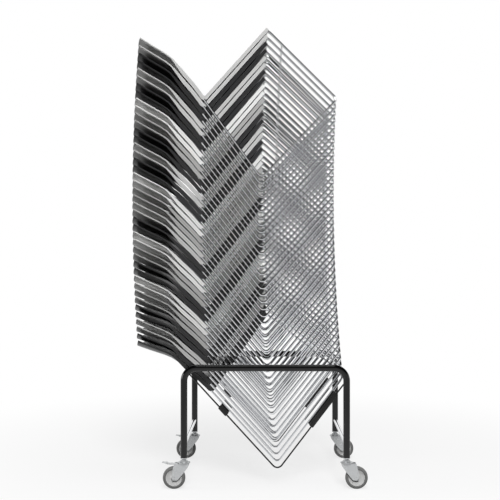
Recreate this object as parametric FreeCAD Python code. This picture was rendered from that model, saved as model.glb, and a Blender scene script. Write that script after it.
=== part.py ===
"""A trolley of nested sled-base chairs.

Forty-two stacking chairs lie tilted back in the V-shaped cradle of a four-wheeled tube trolley.
Each chair is a one-piece moulded shell on a frame of bright steel rod, and each one up the stack is
shifted by one step and turned by a small angle, so the column bows.

Axes in millimetres: +X toward the seats' front edges, +Y away from the viewer, +Z up.
The origin is on the floor under the middle of the trolley. Each chair is drawn in a frame of its
own, with x forward along its floor runners from the rear corner, y sideways and z up.
"""

import FreeCAD, Part
import math
import os

from FreeCAD import Placement, Rotation, Vector

# The stack
chair_count = 42
first_corner_x = 54.0
first_corner_z = 102.0
first_tilt = 52.6
tilt_change = 6.45
forward_step_low = 21.7
forward_step_high = 23.4
upward_step = 21.6
back_sag_low = 3.3

# A chair's shell
shell_half_width = 224.2
shell_thickness = 4.0
seat_flange = 15.5
back_flange = 18.0
top_flange = 5.5
seat_front_x = 504.0
seat_corner_x = 89.0
seat_corner_z = 439.0
seat_slope = 0.0337
lumbar_x = 112.0
lumbar_z = 655.0
back_top_x = 79.0
back_top_z = 831.0
lumbar_bulge = 22.0
top_bulge = 34.0
bulge_half_width = shell_half_width * 0.446

# The uppermost chair's shell, which shows its hollows and its rounded upper corners
rim_width = 22.2
shoulder_inset = 16.0
seat_dish = 6.0
crook_radius = 10.0
dish_front = 0.65
dish_rear = 0.22
small_of_back = 0.72
blade = 0.8

# A chair's rod frame: seat rails and front legs inside the shell's edges, floor runners and rear
# legs outside them
rod_radius = 5.5
leg_gap = 1.7
nesting_gap = 0.3
leg_plane = shell_half_width - shell_thickness - leg_gap - rod_radius
runner_plane = shell_half_width + nesting_gap + rod_radius
runner_length = 494.0
rail_front_x = 501.0
rail_rear_x = 94.0
rear_leg_top_x = 77.0
rear_leg_top_z = 432.0
front_bend = 16.0
rear_bend = 20.0
cross_rod_radius = 4.0
cross_rod_drop = 92.0
rear_cross_rod_x = 150.0
rear_cross_rod_gap = 0.4

# Stacking buffers under the seat rails
buffer_length = 80.0
buffer_width = 13.0
buffer_middle_x = 285.0

# Faces round a rod: few on the nested chairs, more on the chair that lifts off
nested_rod_sides = 4
top_rod_sides = 8

# The trolley's tube frames
leg_spread = 720.0
frame_margin = 53.8
frame_spread = 2 * (shell_half_width + frame_margin)
tube_radius = 15.0
tube_sides = 12
frame_height = 534.0
frame_bend = 57.0
leg_bottom = 138.0
rail_tube_radius = 10.5
rail_tube_height = 196.0

# The cradle
cradle_rod_radius = 3.5
cradle_offset = 17.0
cradle_bend = 26.0
cradle_inset = 8.0
cradle_reach = leg_spread / 2 - cradle_inset
pad_thickness = 20.0
pad_lip = 8.0
pad_cover = 5.0
front_pad_from = 225.0
front_pad_length = 185.0
rear_pad_from = 315.0
rear_pad_length = 48.0

# A caster
wheel_sides = 24
wheel_radius = 50.0
tyre_width = 24.0
tyre_chamfer = 4.0
tyre_bevel = 6.0
hub_radius = 36.0
hub_width = 20.0
hub_bore_clearance = 0.1
axle_radius = 4.0
trail = 43.5
stem_radius = 6.0
plug_height = 4.0
plug_radius = 16.0
collar_radius = 17.0
collar_thickness = 5.0
crown_top = 121.0
crown_thickness = 7.0
crown_radius = 28.0
swivel_clearance = 0.3

# The two plates of a caster's fork
fork_gap = 30.0
fork_thickness = 2.5
fork_neck = 22.0
fork_heel = 10.0
fork_knee_back = 3.0
fork_knee_z = 69.0
fork_nose = 14.0
fork_shoulder_back = 47.0
fork_shoulder_z = 96.0
fork_foot = 10.0
fork_foot_rise = 3.0
fork_foot_back = 6.0
fork_foot_front = 16.0

# The brake pedal of a caster
pedal_pin_radius = 2.5
pedal_pin_back = 27.0
pedal_pin_z = 107.0
pedal_tip_back = 96.0
pedal_tip_z = 119.0
pedal_lip = 24.0
pedal_rise = 1.0
pedal_seat = 0.9
pedal_width = 24.0
pedal_thickness = 3.0

flat = 1e-6


def corner_radius(radius, sides):
    """Corner radius of a round rod's section: a square has its corners on the circle, and a polygon
    with more sides has the circle's area."""
    if sides == 4:
        return radius
    return radius * math.sqrt(2 * math.pi / (sides * math.sin(2 * math.pi / sides)))


def flat_distance(radius, sides):
    """Distance from the axis to a flat of that polygon."""
    return corner_radius(radius, sides) * math.cos(math.pi / sides)


def face(points):
    return Part.Face(Part.makePolygon(list(points) + [points[0]]))


def solid_from(faces):
    solid = Part.Solid(Part.Shell(faces))
    if solid.Volume < 0:
        solid.reverse()
    return solid


def quad_faces(a, b, c, d):
    """One flat face through four corners, or two triangles where they are not in one plane."""
    normal = (b - a).cross(c - a)
    if abs(normal.normalize().dot(d - a)) < flat:
        return [face([a, b, c, d])]
    return [face([a, b, c]), face([a, c, d])]


def bent(corners, radii, facets):
    """A path through the corners, where each inner corner is an arc of a few facets."""
    path = [corners[0]]
    for before, corner, after, radius in zip(corners, corners[1:], corners[2:], radii):
        into = (before - corner).normalize()
        away = (after - corner).normalize()
        half = into.getAngle(away) / 2
        if radius == 0:
            path.append(corner)
            continue
        centre = corner + (into + away).normalize() * (radius / math.sin(half))
        start = corner + into * (radius / math.tan(half)) - centre
        end = corner + away * (radius / math.tan(half)) - centre
        sweep = start.getAngle(end)
        for k in range(facets + 1):
            share = k / facets
            blend = start * math.sin((1 - share) * sweep) + end * math.sin(share * sweep)
            path.append(centre + blend * (1 / math.sin(sweep)))
    path.append(corners[-1])
    return path


def rod(path, radius, sides, turn=0.0):
    """A rod of polygonal section with mitred corners, whose section keeps its turn about the path.

    At each corner the section belongs to the run that lies flatter in the XZ plane, so a jog between
    two such runs takes up the twist.
    """
    corner = corner_radius(radius, sides)
    runs = [(b - a).normalize() for a, b in zip(path, path[1:])]
    lengthwise = abs(runs[0].y) > 0.9
    reference = Vector(0, 0, 1) if lengthwise else Vector(0, 1, 0)
    rings = []
    for k, point in enumerate(path):
        before = runs[max(k - 1, 0)]
        after = runs[min(k, len(runs) - 1)]
        along = before if abs(before.y) < abs(after.y) else after
        normal = (before + after).normalize()
        sideways = (reference - along * along.dot(reference)).normalize()
        upward = along.cross(sideways)
        ring = []
        for n in range(sides):
            angle = turn + 2 * math.pi * n / sides
            spot = sideways * (corner * math.cos(angle)) + upward * (corner * math.sin(angle))
            ring.append(point + spot - along * (spot.dot(normal) / along.dot(normal)))
        rings.append(ring)
    faces = [face(rings[0]), face(rings[-1])]
    for ring, further in zip(rings, rings[1:]):
        for n in range(sides):
            m = (n + 1) % sides
            faces += quad_faces(ring[n], ring[m], further[m], further[n])
    return solid_from(faces)


def chair_place(number):
    """Where a chair's own frame lies, counted from the lowest chair."""
    x, z = first_corner_x, first_corner_z
    last = chair_count - 1
    for k in range(number):
        tilt = math.radians(first_tilt - tilt_change * k / last)
        forward = forward_step_low + (forward_step_high - forward_step_low) * k / (last - 1)
        x += forward * math.cos(tilt) - upward_step * math.sin(tilt)
        z += forward * math.sin(tilt) + upward_step * math.cos(tilt)
    tilt = first_tilt - tilt_change * number / last
    return Placement(Vector(x, 0, z), Rotation(Vector(0, 1, 0), -tilt))


def placed(shape, number):
    moved = shape.copy()
    moved.Placement = chair_place(number)
    return moved


def side_turn(sides):
    """Turn of a side rod's section: a square stands on its corner, others lie flat to the shell."""
    return 0.0 if sides == 4 else math.pi / sides


def rod_reach(sides):
    """How far a side rod's section reaches from its axis, both sideways and up."""
    return rod_radius if sides == 4 else flat_distance(rod_radius, sides)


def seat_height(x):
    """Height of the seat's upper surface at its edge."""
    return seat_corner_z + (x - seat_corner_x) * seat_slope


def rail_height(x, sides):
    """Height of the seat rail's axis, just under the shell."""
    upright = math.cos(math.atan(seat_slope))
    return seat_height(x) - (shell_thickness + rod_reach(sides)) / upright


def frame_path(side, sides, facets, front_corner_bend):
    """Seat rail, front leg, floor runner and rear leg of one side, as one bent rod."""
    upright = [
        Vector(rail_rear_x, side * leg_plane, rail_height(rail_rear_x, sides)),
        Vector(rail_front_x, side * leg_plane, rail_height(rail_front_x, sides)),
        Vector(runner_length, side * leg_plane, 0),
    ]
    leg_end = bent(upright, [front_corner_bend], facets)
    down = (upright[2] - upright[1]).normalize()
    leg_end[-1] = upright[2] - down * front_bend
    low = [
        Vector(runner_length - front_bend, side * runner_plane, 0),
        Vector(0, side * runner_plane, 0),
        Vector(rear_leg_top_x, side * runner_plane, rear_leg_top_z),
    ]
    return leg_end + bent(low, [rear_bend], facets)


def side_rod(side, sides, facets, front_corner_bend):
    path = frame_path(side, sides, facets, front_corner_bend)
    return rod(path, rod_radius, sides, side_turn(sides))


def cross_rod(x, z, reach, sides):
    return rod([Vector(x, -reach, z), Vector(x, reach, z)], cross_rod_radius, sides)


def front_cross_rod(sides):
    """Between the front legs, a hand's breadth under the seat."""
    top = rail_height(rail_front_x, sides)
    z = top - cross_rod_drop
    x = runner_length + (rail_front_x - runner_length) * z / top
    return cross_rod(x, z, leg_plane - rod_reach(sides), sides)


def rear_cross_rod(rails, sides):
    """Below the dished seat, with its ends coped to fit under the seat rails."""
    x = rear_cross_rod_x
    underside = seat_height(x) - shell_thickness - seat_dish
    z = underside - rear_cross_rod_gap - corner_radius(cross_rod_radius, sides)
    return cross_rod(x, z, leg_plane, sides).cut(rails).Solids[0]


def section(point, hidden, width, flange, bulge, profile):
    """The closed outline of the shell's section at one station.

    hidden points to the underside or the rear. profile holds pairs of half-width and share of the
    bulge for the part of the sheet between the two flanges.
    """

    def at(y, depth):
        return point + hidden * depth + Vector(0, y, 0)

    t = shell_thickness
    inner = width - t
    outside = [(width, flange), (width, 0)]
    outside += [(y, share * bulge) for y, share in profile]
    inside = [(inner, flange), (inner, t)]
    inside += [(y, t + share * bulge) for y, share in profile]
    near = [at(-y, d) for y, d in outside]
    far = [at(y, d) for y, d in reversed(outside)]
    far_inside = [at(y, d) for y, d in inside]
    near_inside = [at(-y, d) for y, d in reversed(inside)]
    return near + far + far_inside + near_inside


def shell_solid(stations, profile, sag):
    """A moulded sheet with turned edges, drawn through U-shaped sections.

    stations lists x, z, half-width, flange and bulge from the seat's front edge up to the back's top.
    The back is turned rearward by sag about the line where it meets the seat.
    """
    corner = Vector(seat_corner_x, 0, seat_corner_z)
    turn = Rotation(Vector(0, 1, 0), -sag)
    points = []
    for station in stations:
        point = Vector(station[0], 0, station[1])
        if point.z > seat_corner_z and point.x < seat_front_x / 2:
            point = corner + turn.multVec(point - corner)
        points.append(point)
    hidden = []
    for point, further in zip(points, points[1:]):
        hidden.append((further - point).normalize().cross(Vector(0, 1, 0)))
    rings = []
    for k, point in enumerate(points):
        before = hidden[max(k - 1, 0)]
        after = hidden[min(k, len(hidden) - 1)]
        middle = (before + after).normalize()
        middle = middle * (1 / middle.dot(after))
        width, flange, bulge = stations[k][2:]
        rings.append(section(point, middle, width, flange, bulge, profile))
    faces = [face(rings[0]), face(rings[-1])]
    for one, other in zip(rings, rings[1:]):
        for n in range(len(one)):
            m = (n + 1) % len(one)
            faces += quad_faces(one[n], one[m], other[m], other[n])
    return solid_from(faces)


def nested_shell(number):
    w = shell_half_width
    stations = [
        (seat_front_x, seat_height(seat_front_x), w, seat_flange, 0),
        (seat_corner_x, seat_corner_z, w, seat_flange, 0),
        (lumbar_x, lumbar_z, w, back_flange / 2, lumbar_bulge),
        (back_top_x, back_top_z, w, top_flange, top_bulge),
    ]
    sag = back_sag_low * (chair_count - 1 - number) / (chair_count - 1)
    return shell_solid(stations, [(bulge_half_width, 1)], sag)


def top_shell():
    """The uppermost shell, with its dished seat, rounded crook and round-shouldered back."""
    w = shell_half_width
    seat_length = seat_front_x - seat_corner_x
    stations = [(seat_front_x, seat_height(seat_front_x), w, seat_flange, 0)]
    for x in (
        seat_corner_x + seat_length * dish_front,
        seat_corner_x + seat_length * dish_rear,
        seat_corner_x + crook_radius,
    ):
        stations.append((x, seat_height(x), w, seat_flange, seat_dish))
    slope = (lumbar_x - seat_corner_x) / (lumbar_z - seat_corner_z)
    crook_x = seat_corner_x + crook_radius * slope
    small_x = seat_corner_x + (lumbar_x - seat_corner_x) * small_of_back
    small_z = seat_corner_z + (lumbar_z - seat_corner_z) * small_of_back
    blade_x = lumbar_x + (back_top_x - lumbar_x) * blade
    blade_z = lumbar_z + (back_top_z - lumbar_z) * blade
    stations += [
        (crook_x, seat_corner_z + crook_radius, w, back_flange, seat_dish),
        (small_x, small_z, w, back_flange, lumbar_bulge),
        (lumbar_x, lumbar_z, w, top_flange, lumbar_bulge),
        (blade_x, blade_z, w, top_flange, top_bulge),
        (back_top_x, back_top_z, w - shoulder_inset, top_flange, top_bulge),
    ]
    return shell_solid(stations, [(w - rim_width, 0), (bulge_half_width, 1)], 0)


def buffer_block(number, side, sides):
    """A moulded block between a seat rail and the upper surface of the shell below it."""
    above = chair_place(number).inverse().multiply(chair_place(number - 1))
    ends = [above.multVec(Vector(x, 0, seat_height(x))) for x in (seat_corner_x, seat_front_x)]
    slope = (ends[1].z - ends[0].z) / (ends[1].x - ends[0].x)
    outline = []
    for x in (buffer_middle_x - buffer_length / 2, buffer_middle_x + buffer_length / 2):
        outline.append(Vector(x, 0, rail_height(x, sides) - rod_reach(sides)))
    for p in reversed(outline[:]):
        outline.append(Vector(p.x, 0, ends[0].z + (p.x - ends[0].x) * slope))
    start = Vector(0, side * leg_plane - buffer_width / 2, 0)
    return face([p + start for p in outline]).extrude(Vector(0, buffer_width, 0))


def nested_chairs():
    """All chairs but the uppermost, whose shells go two by two as their colours do."""
    near = []
    far = []
    crossing = []
    buffers = []
    near_rod = side_rod(-1, nested_rod_sides, 1, 0)
    far_rod = side_rod(1, nested_rod_sides, 1, 0)
    bar = front_cross_rod(nested_rod_sides)
    pairs = {}
    for number in range(chair_count - 1):
        near.append(placed(near_rod, number))
        far.append(placed(far_rod, number))
        crossing.append(placed(bar, number))
        if number > 0:
            blocks = [buffer_block(number, side, nested_rod_sides) for side in (-1, 1)]
            buffers += [placed(block, number) for block in blocks]
        name = f"shells_{number // 2 + 1:02d}"
        pairs.setdefault(name, []).append(placed(nested_shell(number), number))
    nodes = {
        "nested_frames_near": near,
        "nested_frames_far": far,
        "nested_cross_rods": crossing,
        "nested_buffers": buffers,
    }
    nodes.update(pairs)
    return nodes


def top_chair():
    """The uppermost chair, which lifts off the stack."""
    last = chair_count - 1
    rods = [side_rod(side, top_rod_sides, 2, front_bend) for side in (-1, 1)]
    return {
        "top_shell": [placed(top_shell(), last)],
        "top_frame_near": [placed(rods[0], last)],
        "top_frame_far": [placed(rods[1], last)],
        "top_cross_rods": [
            placed(front_cross_rod(top_rod_sides), last),
            placed(rear_cross_rod(rods, top_rod_sides), last),
        ],
        "top_buffers": [placed(buffer_block(last, side, top_rod_sides), last) for side in (-1, 1)],
    }


def side_frame(side):
    """An arch of tube that stands on two casters."""
    x = leg_spread / 2
    y = side * frame_spread / 2
    corners = [
        Vector(-x, y, leg_bottom),
        Vector(-x, y, frame_height),
        Vector(x, y, frame_height),
        Vector(x, y, leg_bottom),
    ]
    path = bent(corners, [frame_bend, frame_bend], 4)
    return rod(path, tube_radius, tube_sides, math.pi / tube_sides)


def cross_rail(end):
    """A low tube between the legs at one end of the trolley."""
    reach = frame_spread / 2 - flat_distance(tube_radius, tube_sides)
    ends = [Vector(end * leg_spread / 2, y, rail_tube_height) for y in (-reach, reach)]
    return rod(ends, rail_tube_radius, tube_sides)


def cradle_corner():
    """The V's sharp corner and its two directions, parallel to the lowest chair's rods."""
    place = chair_place(0)
    forward = place.Rotation.multVec(Vector(1, 0, 0))
    rearward = place.Rotation.multVec(Vector(rear_leg_top_x, 0, rear_leg_top_z).normalize())
    half = forward.getAngle(rearward) / 2
    outward = (forward + rearward).normalize() * -1
    return place.Base + outward * (cradle_offset / math.sin(half)), forward, rearward


def cradle_plane():
    """Where a cradle rod lies flat against an arch."""
    return frame_spread / 2 - flat_distance(tube_radius, tube_sides) - flat_distance(cradle_rod_radius, 6)


def cradle_rod(side):
    """A thin rod bent into a V and welded to the inner faces of an arch."""
    corner, forward, rearward = cradle_corner()
    y = Vector(0, side * cradle_plane(), 0)
    front = corner + forward * ((cradle_reach - corner.x) / forward.x)
    rear = corner + rearward * ((-cradle_reach - corner.x) / rearward.x)
    path = bent([rear + y, corner + y, front + y], [cradle_bend], 2)
    return rod(path, cradle_rod_radius, 6, math.pi / 6)


def cradle_pad(side, along, hidden, start, length, holder):
    """A soft block round a cradle rod, on which the lowest chair's rods rest."""
    base = chair_place(0).Base
    inner = base + along * start + hidden * rod_reach(nested_rod_sides)
    corners = [
        inner,
        inner + along * length,
        inner + along * length + hidden * pad_thickness,
        inner + hidden * pad_thickness,
    ]
    y = runner_plane - pad_lip
    width = cradle_plane() + pad_cover - y
    block = face([p + Vector(0, side * y, 0) for p in corners])
    block = block.extrude(Vector(0, side * width, 0))
    return block.cut(holder).Solids[0]


def cradle_pads(holders):
    corner, forward, rearward = cradle_corner()
    down = forward.cross(Vector(0, 1, 0)) * -1
    back = rearward.cross(Vector(0, 1, 0))
    pads = []
    for side, holder in zip((-1, 1), holders):
        pads.append(cradle_pad(side, forward, down, front_pad_from, front_pad_length, holder))
        pads.append(cradle_pad(side, rearward, back, rear_pad_from, rear_pad_length, holder))
    return pads


def caster_place(end, side):
    """Casters at the two ends trail away from each other, so the far end's is turned half round."""
    half_turn = 180.0 if end < 0 else 0.0
    where = Vector(end * leg_spread / 2, side * frame_spread / 2, 0)
    return Placement(where, Rotation(Vector(0, 0, 1), half_turn))


def disc(radius, bottom, top):
    return rod([Vector(0, 0, bottom), Vector(0, 0, top)], radius, 12)


def caster_stem():
    """The plug in the leg's end, with its turned pin and the collar that the fork swivels under."""
    bottom = crown_top + swivel_clearance
    plug_bottom = leg_bottom - plug_height
    pin = Part.makeCylinder(stem_radius, plug_bottom - bottom, Vector(0, 0, bottom))
    collar = disc(collar_radius, bottom, bottom + collar_thickness)
    plug = disc(plug_radius, plug_bottom, leg_bottom)
    return plug.fuse([pin, collar]).removeSplitter()


def fork():
    """A pressed fork: a round crown and two plates that reach back to the axle."""
    half = fork_gap / 2 + fork_thickness
    under = crown_top - crown_thickness
    foot = wheel_radius - fork_foot
    outline = [
        Vector(-fork_neck, 0, under),
        Vector(pedal_pin_back + fork_nose, 0, under),
        Vector(fork_shoulder_back, 0, fork_shoulder_z),
        Vector(trail + fork_foot, 0, wheel_radius + fork_foot_rise),
        Vector(trail + fork_foot_back, 0, foot),
        Vector(trail - fork_foot_front, 0, foot),
        Vector(fork_knee_back, 0, fork_knee_z),
        Vector(-fork_neck, 0, under - fork_heel),
    ]
    plates = []
    for y in (-half, fork_gap / 2):
        plate = face([p + Vector(0, y, 0) for p in outline])
        plates.append(plate.extrude(Vector(0, fork_thickness, 0)))
    return disc(crown_radius, under, crown_top).fuse(plates).removeSplitter()


def axle():
    start = Vector(trail, -fork_gap / 2, wheel_radius)
    return Part.makeCylinder(axle_radius, fork_gap, start, Vector(0, 1, 0))


def turned(outline):
    """A ring round the axle, turned in equal steps from pairs of radius and y.

    It rests on one of its flats, and the radii are those of the flats.
    """
    rings = []
    for n in range(wheel_sides):
        angle = 2 * math.pi * (n + 0.5) / wheel_sides
        outward = Vector(math.cos(angle), 0, math.sin(angle)) * (1 / math.cos(math.pi / wheel_sides))
        rings.append([outward * radius + Vector(trail, y, wheel_radius) for radius, y in outline])
    faces = []
    for n, ring in enumerate(rings):
        further = rings[(n + 1) % wheel_sides]
        for k in range(len(ring)):
            m = (k + 1) % len(ring)
            faces += quad_faces(ring[k], ring[m], further[m], further[k])
    return solid_from(faces)


def hub():
    w = hub_width / 2
    bore = axle_radius + hub_bore_clearance
    return turned([(bore, -w), (hub_radius, -w), (hub_radius, w), (bore, w)])


def tyre():
    """A solid tyre with bevelled shoulders."""
    w = tyre_width / 2
    shoulder = wheel_radius - tyre_chamfer
    tread = w - tyre_bevel
    return turned(
        [(hub_radius, -w), (shoulder, -w), (wheel_radius, -tread)]
        + [(wheel_radius, tread), (shoulder, w), (hub_radius, w)]
    )


def pedal():
    """A foot lever over the wheel, with the pin that it turns on."""
    t = pedal_thickness
    top = pedal_pin_z + pedal_pin_radius
    bend_x = pedal_tip_back - pedal_lip
    outline = [
        Vector(pedal_pin_back, 0, top - pedal_seat),
        Vector(bend_x, 0, top + pedal_rise),
        Vector(pedal_tip_back, 0, pedal_tip_z - t),
        Vector(pedal_tip_back, 0, pedal_tip_z),
        Vector(bend_x - pedal_rise, 0, top + pedal_rise + t),
        Vector(pedal_pin_back, 0, top - pedal_seat + t),
    ]
    plate = face([p + Vector(0, -pedal_width / 2, 0) for p in outline])
    plate = plate.extrude(Vector(0, pedal_width, 0))
    reach = fork_gap / 2 - swivel_clearance
    start = Vector(pedal_pin_back, -reach, pedal_pin_z)
    pin = Part.makeCylinder(pedal_pin_radius, 2 * reach, start, Vector(0, 1, 0))
    return plate.fuse(pin).removeSplitter()


def casters():
    nodes = {"caster_stems": []}
    for end, end_name in ((-1, "left"), (1, "right")):
        for side, side_name in ((-1, "near"), (1, "far")):
            place = caster_place(end, side)
            where = f"{side_name}_{end_name}"
            pieces = {
                f"fork_{where}": fork(),
                f"axle_{where}": axle(),
                f"hub_{where}": hub(),
                f"tyre_{where}": tyre(),
            }
            if end < 0:
                pieces[f"pedal_{where}"] = pedal()
            stem = caster_stem()
            stem.Placement = place
            nodes["caster_stems"].append(stem)
            for name, shape in pieces.items():
                shape.Placement = place.multiply(shape.Placement)
                nodes[name] = [shape]
    return nodes


def trolley():
    holders = [cradle_rod(-1), cradle_rod(1)]
    nodes = {
        "side_frame_near": [side_frame(-1)],
        "side_frame_far": [side_frame(1)],
        "cross_rail_left": [cross_rail(-1)],
        "cross_rail_right": [cross_rail(1)],
        "cradle_rod_near": [holders[0]],
        "cradle_rod_far": [holders[1]],
        "cradle_pads": cradle_pads(holders),
    }
    nodes.update(casters())
    return nodes


def main():
    os.makedirs("parts", exist_ok=True)
    nodes = trolley()
    nodes.update(nested_chairs())
    nodes.update(top_chair())
    for name, solids in nodes.items():
        for solid in solids:
            if not solid.isValid():
                print("invalid solid in", name)
        shape = solids[0] if len(solids) == 1 else Part.makeCompound(solids)
        shape.exportStep(f"parts/{name}.step")
    print(len(nodes), "nodes,", sum(len(s) for s in nodes.values()), "solids")


main()
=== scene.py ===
# %% [markdown]
# # A trolley of nested sled-base chairs
#
# Forty-two chairs of moulded plastic and bright steel rod lie tilted back in the cradle of a black
# tube trolley. The exact model gives every part its size, place and joint. This lesson gives the
# parts their smooth forms and their finishes, and it never moves what the exact model placed.

# %% The frame that everything is built in
import math

import bpy
from mathutils import Matrix, Vector


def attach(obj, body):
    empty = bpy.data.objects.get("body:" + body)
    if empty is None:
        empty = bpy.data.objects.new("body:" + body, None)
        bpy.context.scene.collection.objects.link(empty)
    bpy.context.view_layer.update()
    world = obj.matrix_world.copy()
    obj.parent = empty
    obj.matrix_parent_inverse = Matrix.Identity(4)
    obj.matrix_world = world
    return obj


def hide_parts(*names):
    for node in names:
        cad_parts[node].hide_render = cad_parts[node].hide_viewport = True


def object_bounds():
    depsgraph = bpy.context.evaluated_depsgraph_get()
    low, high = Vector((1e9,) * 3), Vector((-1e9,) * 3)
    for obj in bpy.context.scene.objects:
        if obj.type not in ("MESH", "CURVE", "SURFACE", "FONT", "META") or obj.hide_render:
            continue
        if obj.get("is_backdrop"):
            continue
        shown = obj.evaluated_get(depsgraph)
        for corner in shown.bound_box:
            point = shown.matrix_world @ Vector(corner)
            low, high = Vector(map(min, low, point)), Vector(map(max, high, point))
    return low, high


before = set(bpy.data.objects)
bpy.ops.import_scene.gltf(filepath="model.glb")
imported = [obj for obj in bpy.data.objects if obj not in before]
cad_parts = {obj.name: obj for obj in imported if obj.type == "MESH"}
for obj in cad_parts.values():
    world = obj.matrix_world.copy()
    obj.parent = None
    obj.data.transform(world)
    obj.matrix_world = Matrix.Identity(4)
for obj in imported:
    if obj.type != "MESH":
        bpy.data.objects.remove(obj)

cad_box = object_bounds()
for end, corner in zip(("lowest", "highest"), cad_box):
    print("the exact model's", end, "corner is at", [round(v, 3) for v in corner], "m")

# %% [markdown]
# The photograph looks straight at the side of the stack from nearly four metres, at about half the
# stack's height. A camera that stays level and is shifted instead of tilted keeps the upright lines
# of the stack parallel, so the shift is what frames the picture here.

# %% Camera
EYE = Vector((-0.0133, -3.778, 0.9942))
LENS_MM = 56.95
SHIFT_ACROSS, SHIFT_UP = -0.0246, 0.028

camera = bpy.data.objects.new("camera", bpy.data.cameras.new("camera"))
bpy.context.scene.collection.objects.link(camera)
camera.location = EYE
camera.rotation_euler = (math.radians(90), 0, 0)
camera.data.lens = LENS_MM
camera.data.shift_x = SHIFT_ACROSS
camera.data.shift_y = SHIFT_UP
bpy.context.scene.camera = camera
print("the camera stands", round(-EYE.y, 2), "m from the stack's middle")

# %% [markdown]
# Small helpers come first. An operator acts on everything that is selected, so each piece starts
# with nothing selected. Faces, edges and corners are picked by their place.

# %% Selecting
MM = 0.001
TOUCHING = 0.01 * MM
MODES = {"vertices": "VERT", "edges": "EDGE", "polygons": "FACE"}


def deselect():
    if bpy.context.object and bpy.context.object.mode != "OBJECT":
        bpy.ops.object.mode_set(mode="OBJECT")
    bpy.ops.object.select_all(action="DESELECT")


def only(piece):
    deselect()
    piece.select_set(True)
    bpy.context.view_layer.objects.active = piece


def pick(piece, kind, test):
    """In edit mode, selects the corners, edges or faces whose middle passes the test."""
    bpy.ops.object.mode_set(mode="EDIT")
    bpy.ops.mesh.select_mode(type=MODES[kind])
    bpy.ops.mesh.select_all(action="DESELECT")
    bpy.ops.object.mode_set(mode="OBJECT")
    corners = piece.data.vertices
    for item in getattr(piece.data, kind):
        if kind == "vertices":
            middle = item.co
        else:
            middle = sum((corners[v].co for v in item.vertices), Vector()) / len(item.vertices)
        item.select = bool(test(middle))
    bpy.ops.object.mode_set(mode="EDIT")


# %% [markdown]
# Every piece ends the same way. Corners that lie on each other are merged, the faces are turned
# outward, and shading is smooth except over sharp edges. A real edge is never quite sharp, so most
# pieces also get a fine bevel, made by a modifier because it finds the edges by their angle.

# %% Finishing a piece
WELD = 0.001 * MM


def finish_piece(piece, angle=35):
    """Outward faces, smooth shading up to an angle, and the object back at the origin."""
    only(piece)
    bpy.ops.object.transform_apply(location=True, rotation=True, scale=True)
    bpy.ops.object.mode_set(mode="EDIT")
    bpy.ops.mesh.select_all(action="SELECT")
    bpy.ops.mesh.remove_doubles(threshold=WELD)
    bpy.ops.mesh.normals_make_consistent(inside=False)
    bpy.ops.object.mode_set(mode="OBJECT")
    bpy.ops.object.shade_smooth_by_angle(angle=math.radians(angle))
    return piece


def edges_eased(piece, width, segments, angle):
    """Rounds the edges of the active piece that are sharper than an angle."""
    bpy.ops.object.modifier_add(type="BEVEL")
    bevel = piece.modifiers[-1]
    bevel.width = width
    bevel.segments = segments
    bevel.limit_method = "ANGLE"
    bevel.angle_limit = math.radians(angle)
    bpy.ops.object.modifier_apply(modifier=bevel.name)


# %% [markdown]
# What repeats is modelled once. Each copy has a mesh of its own that is moved to its place, and the
# copies that never part from each other are joined to one piece. A finished piece is then dressed:
# it gets its material, rides on the body that carries it, and takes the exact piece's place.

# %% Copying, joining and dressing
def copied(piece, place, name="copy"):
    """A copy with a mesh of its own, moved to its place."""
    copy = piece.copy()
    copy.data = piece.data.copy()
    copy.name = name
    bpy.context.scene.collection.objects.link(copy)
    copy.data.transform(place)
    return copy


def joined(pieces, name):
    deselect()
    for piece in pieces:
        piece.select_set(True)
    bpy.context.view_layer.objects.active = pieces[0]
    if len(pieces) > 1:
        bpy.ops.object.join()
    whole = bpy.context.object
    whole.name = name
    whole.data.name = name
    return whole


def dressed(piece, finish, body, node):
    """Gives a new piece its finish and tells the frame whose place it takes."""
    piece.data.materials.clear()
    piece.data.materials.append(finish)
    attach(piece, body)
    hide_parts(node)
    return piece


def removed(*pieces):
    for piece in pieces:
        bpy.data.objects.remove(piece)


# %% [markdown]
# Each chair up the stack is the one below it, shifted by one step and turned by a small angle. The
# steps are the named sizes of the exact model, here in metres, so a chair modelled once can be put
# at its forty-two places.

# %% Where each chair lies
CHAIRS = 42
TOP = CHAIRS - 1
FIRST_CORNER = Vector((54.0, 0, 102.0)) * MM
FIRST_TILT = 52.6
TILT_CHANGE = 6.45
STEP_LOW, STEP_HIGH, STEP_UP = 21.7 * MM, 23.4 * MM, 21.6 * MM


def chair_place(number):
    spot = FIRST_CORNER.copy()
    for k in range(number):
        tilt = math.radians(FIRST_TILT - TILT_CHANGE * k / TOP)
        forward = STEP_LOW + (STEP_HIGH - STEP_LOW) * k / (TOP - 1)
        spot.x += forward * math.cos(tilt) - STEP_UP * math.sin(tilt)
        spot.z += forward * math.sin(tilt) + STEP_UP * math.cos(tilt)
    tilt = math.radians(FIRST_TILT - TILT_CHANGE * number / TOP)
    return Matrix.Translation(spot) @ Matrix.Rotation(-tilt, 4, "Y")


print("the highest chair's rear corner is", round(chair_place(TOP).translation.z, 3), "m up")

# %% [markdown]
# A material is a small network of nodes. One function adds a node, sets it and links it, and
# another turns the hex colour that a designer writes into the linear light that the renderer uses.

# %% Nodes and colours
def linear(hex_colour):
    channels = [int(hex_colour[i:i + 2], 16) / 255 for i in (0, 2, 4)]
    return [c / 12.92 if c <= 0.04045 else ((c + 0.055) / 1.055) ** 2.4 for c in channels] + [1.0]


def add(tree, kind, inputs=None, **settings):
    """Adds a node. An input is a value, or another node's output to link."""
    node = tree.nodes.new(kind)
    for name, value in settings.items():
        setattr(node, name, value)
    for name, value in (inputs or {}).items():
        if isinstance(value, bpy.types.NodeSocket):
            tree.links.new(value, node.inputs[name])
        else:
            node.inputs[name].default_value = value
    return node


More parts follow.
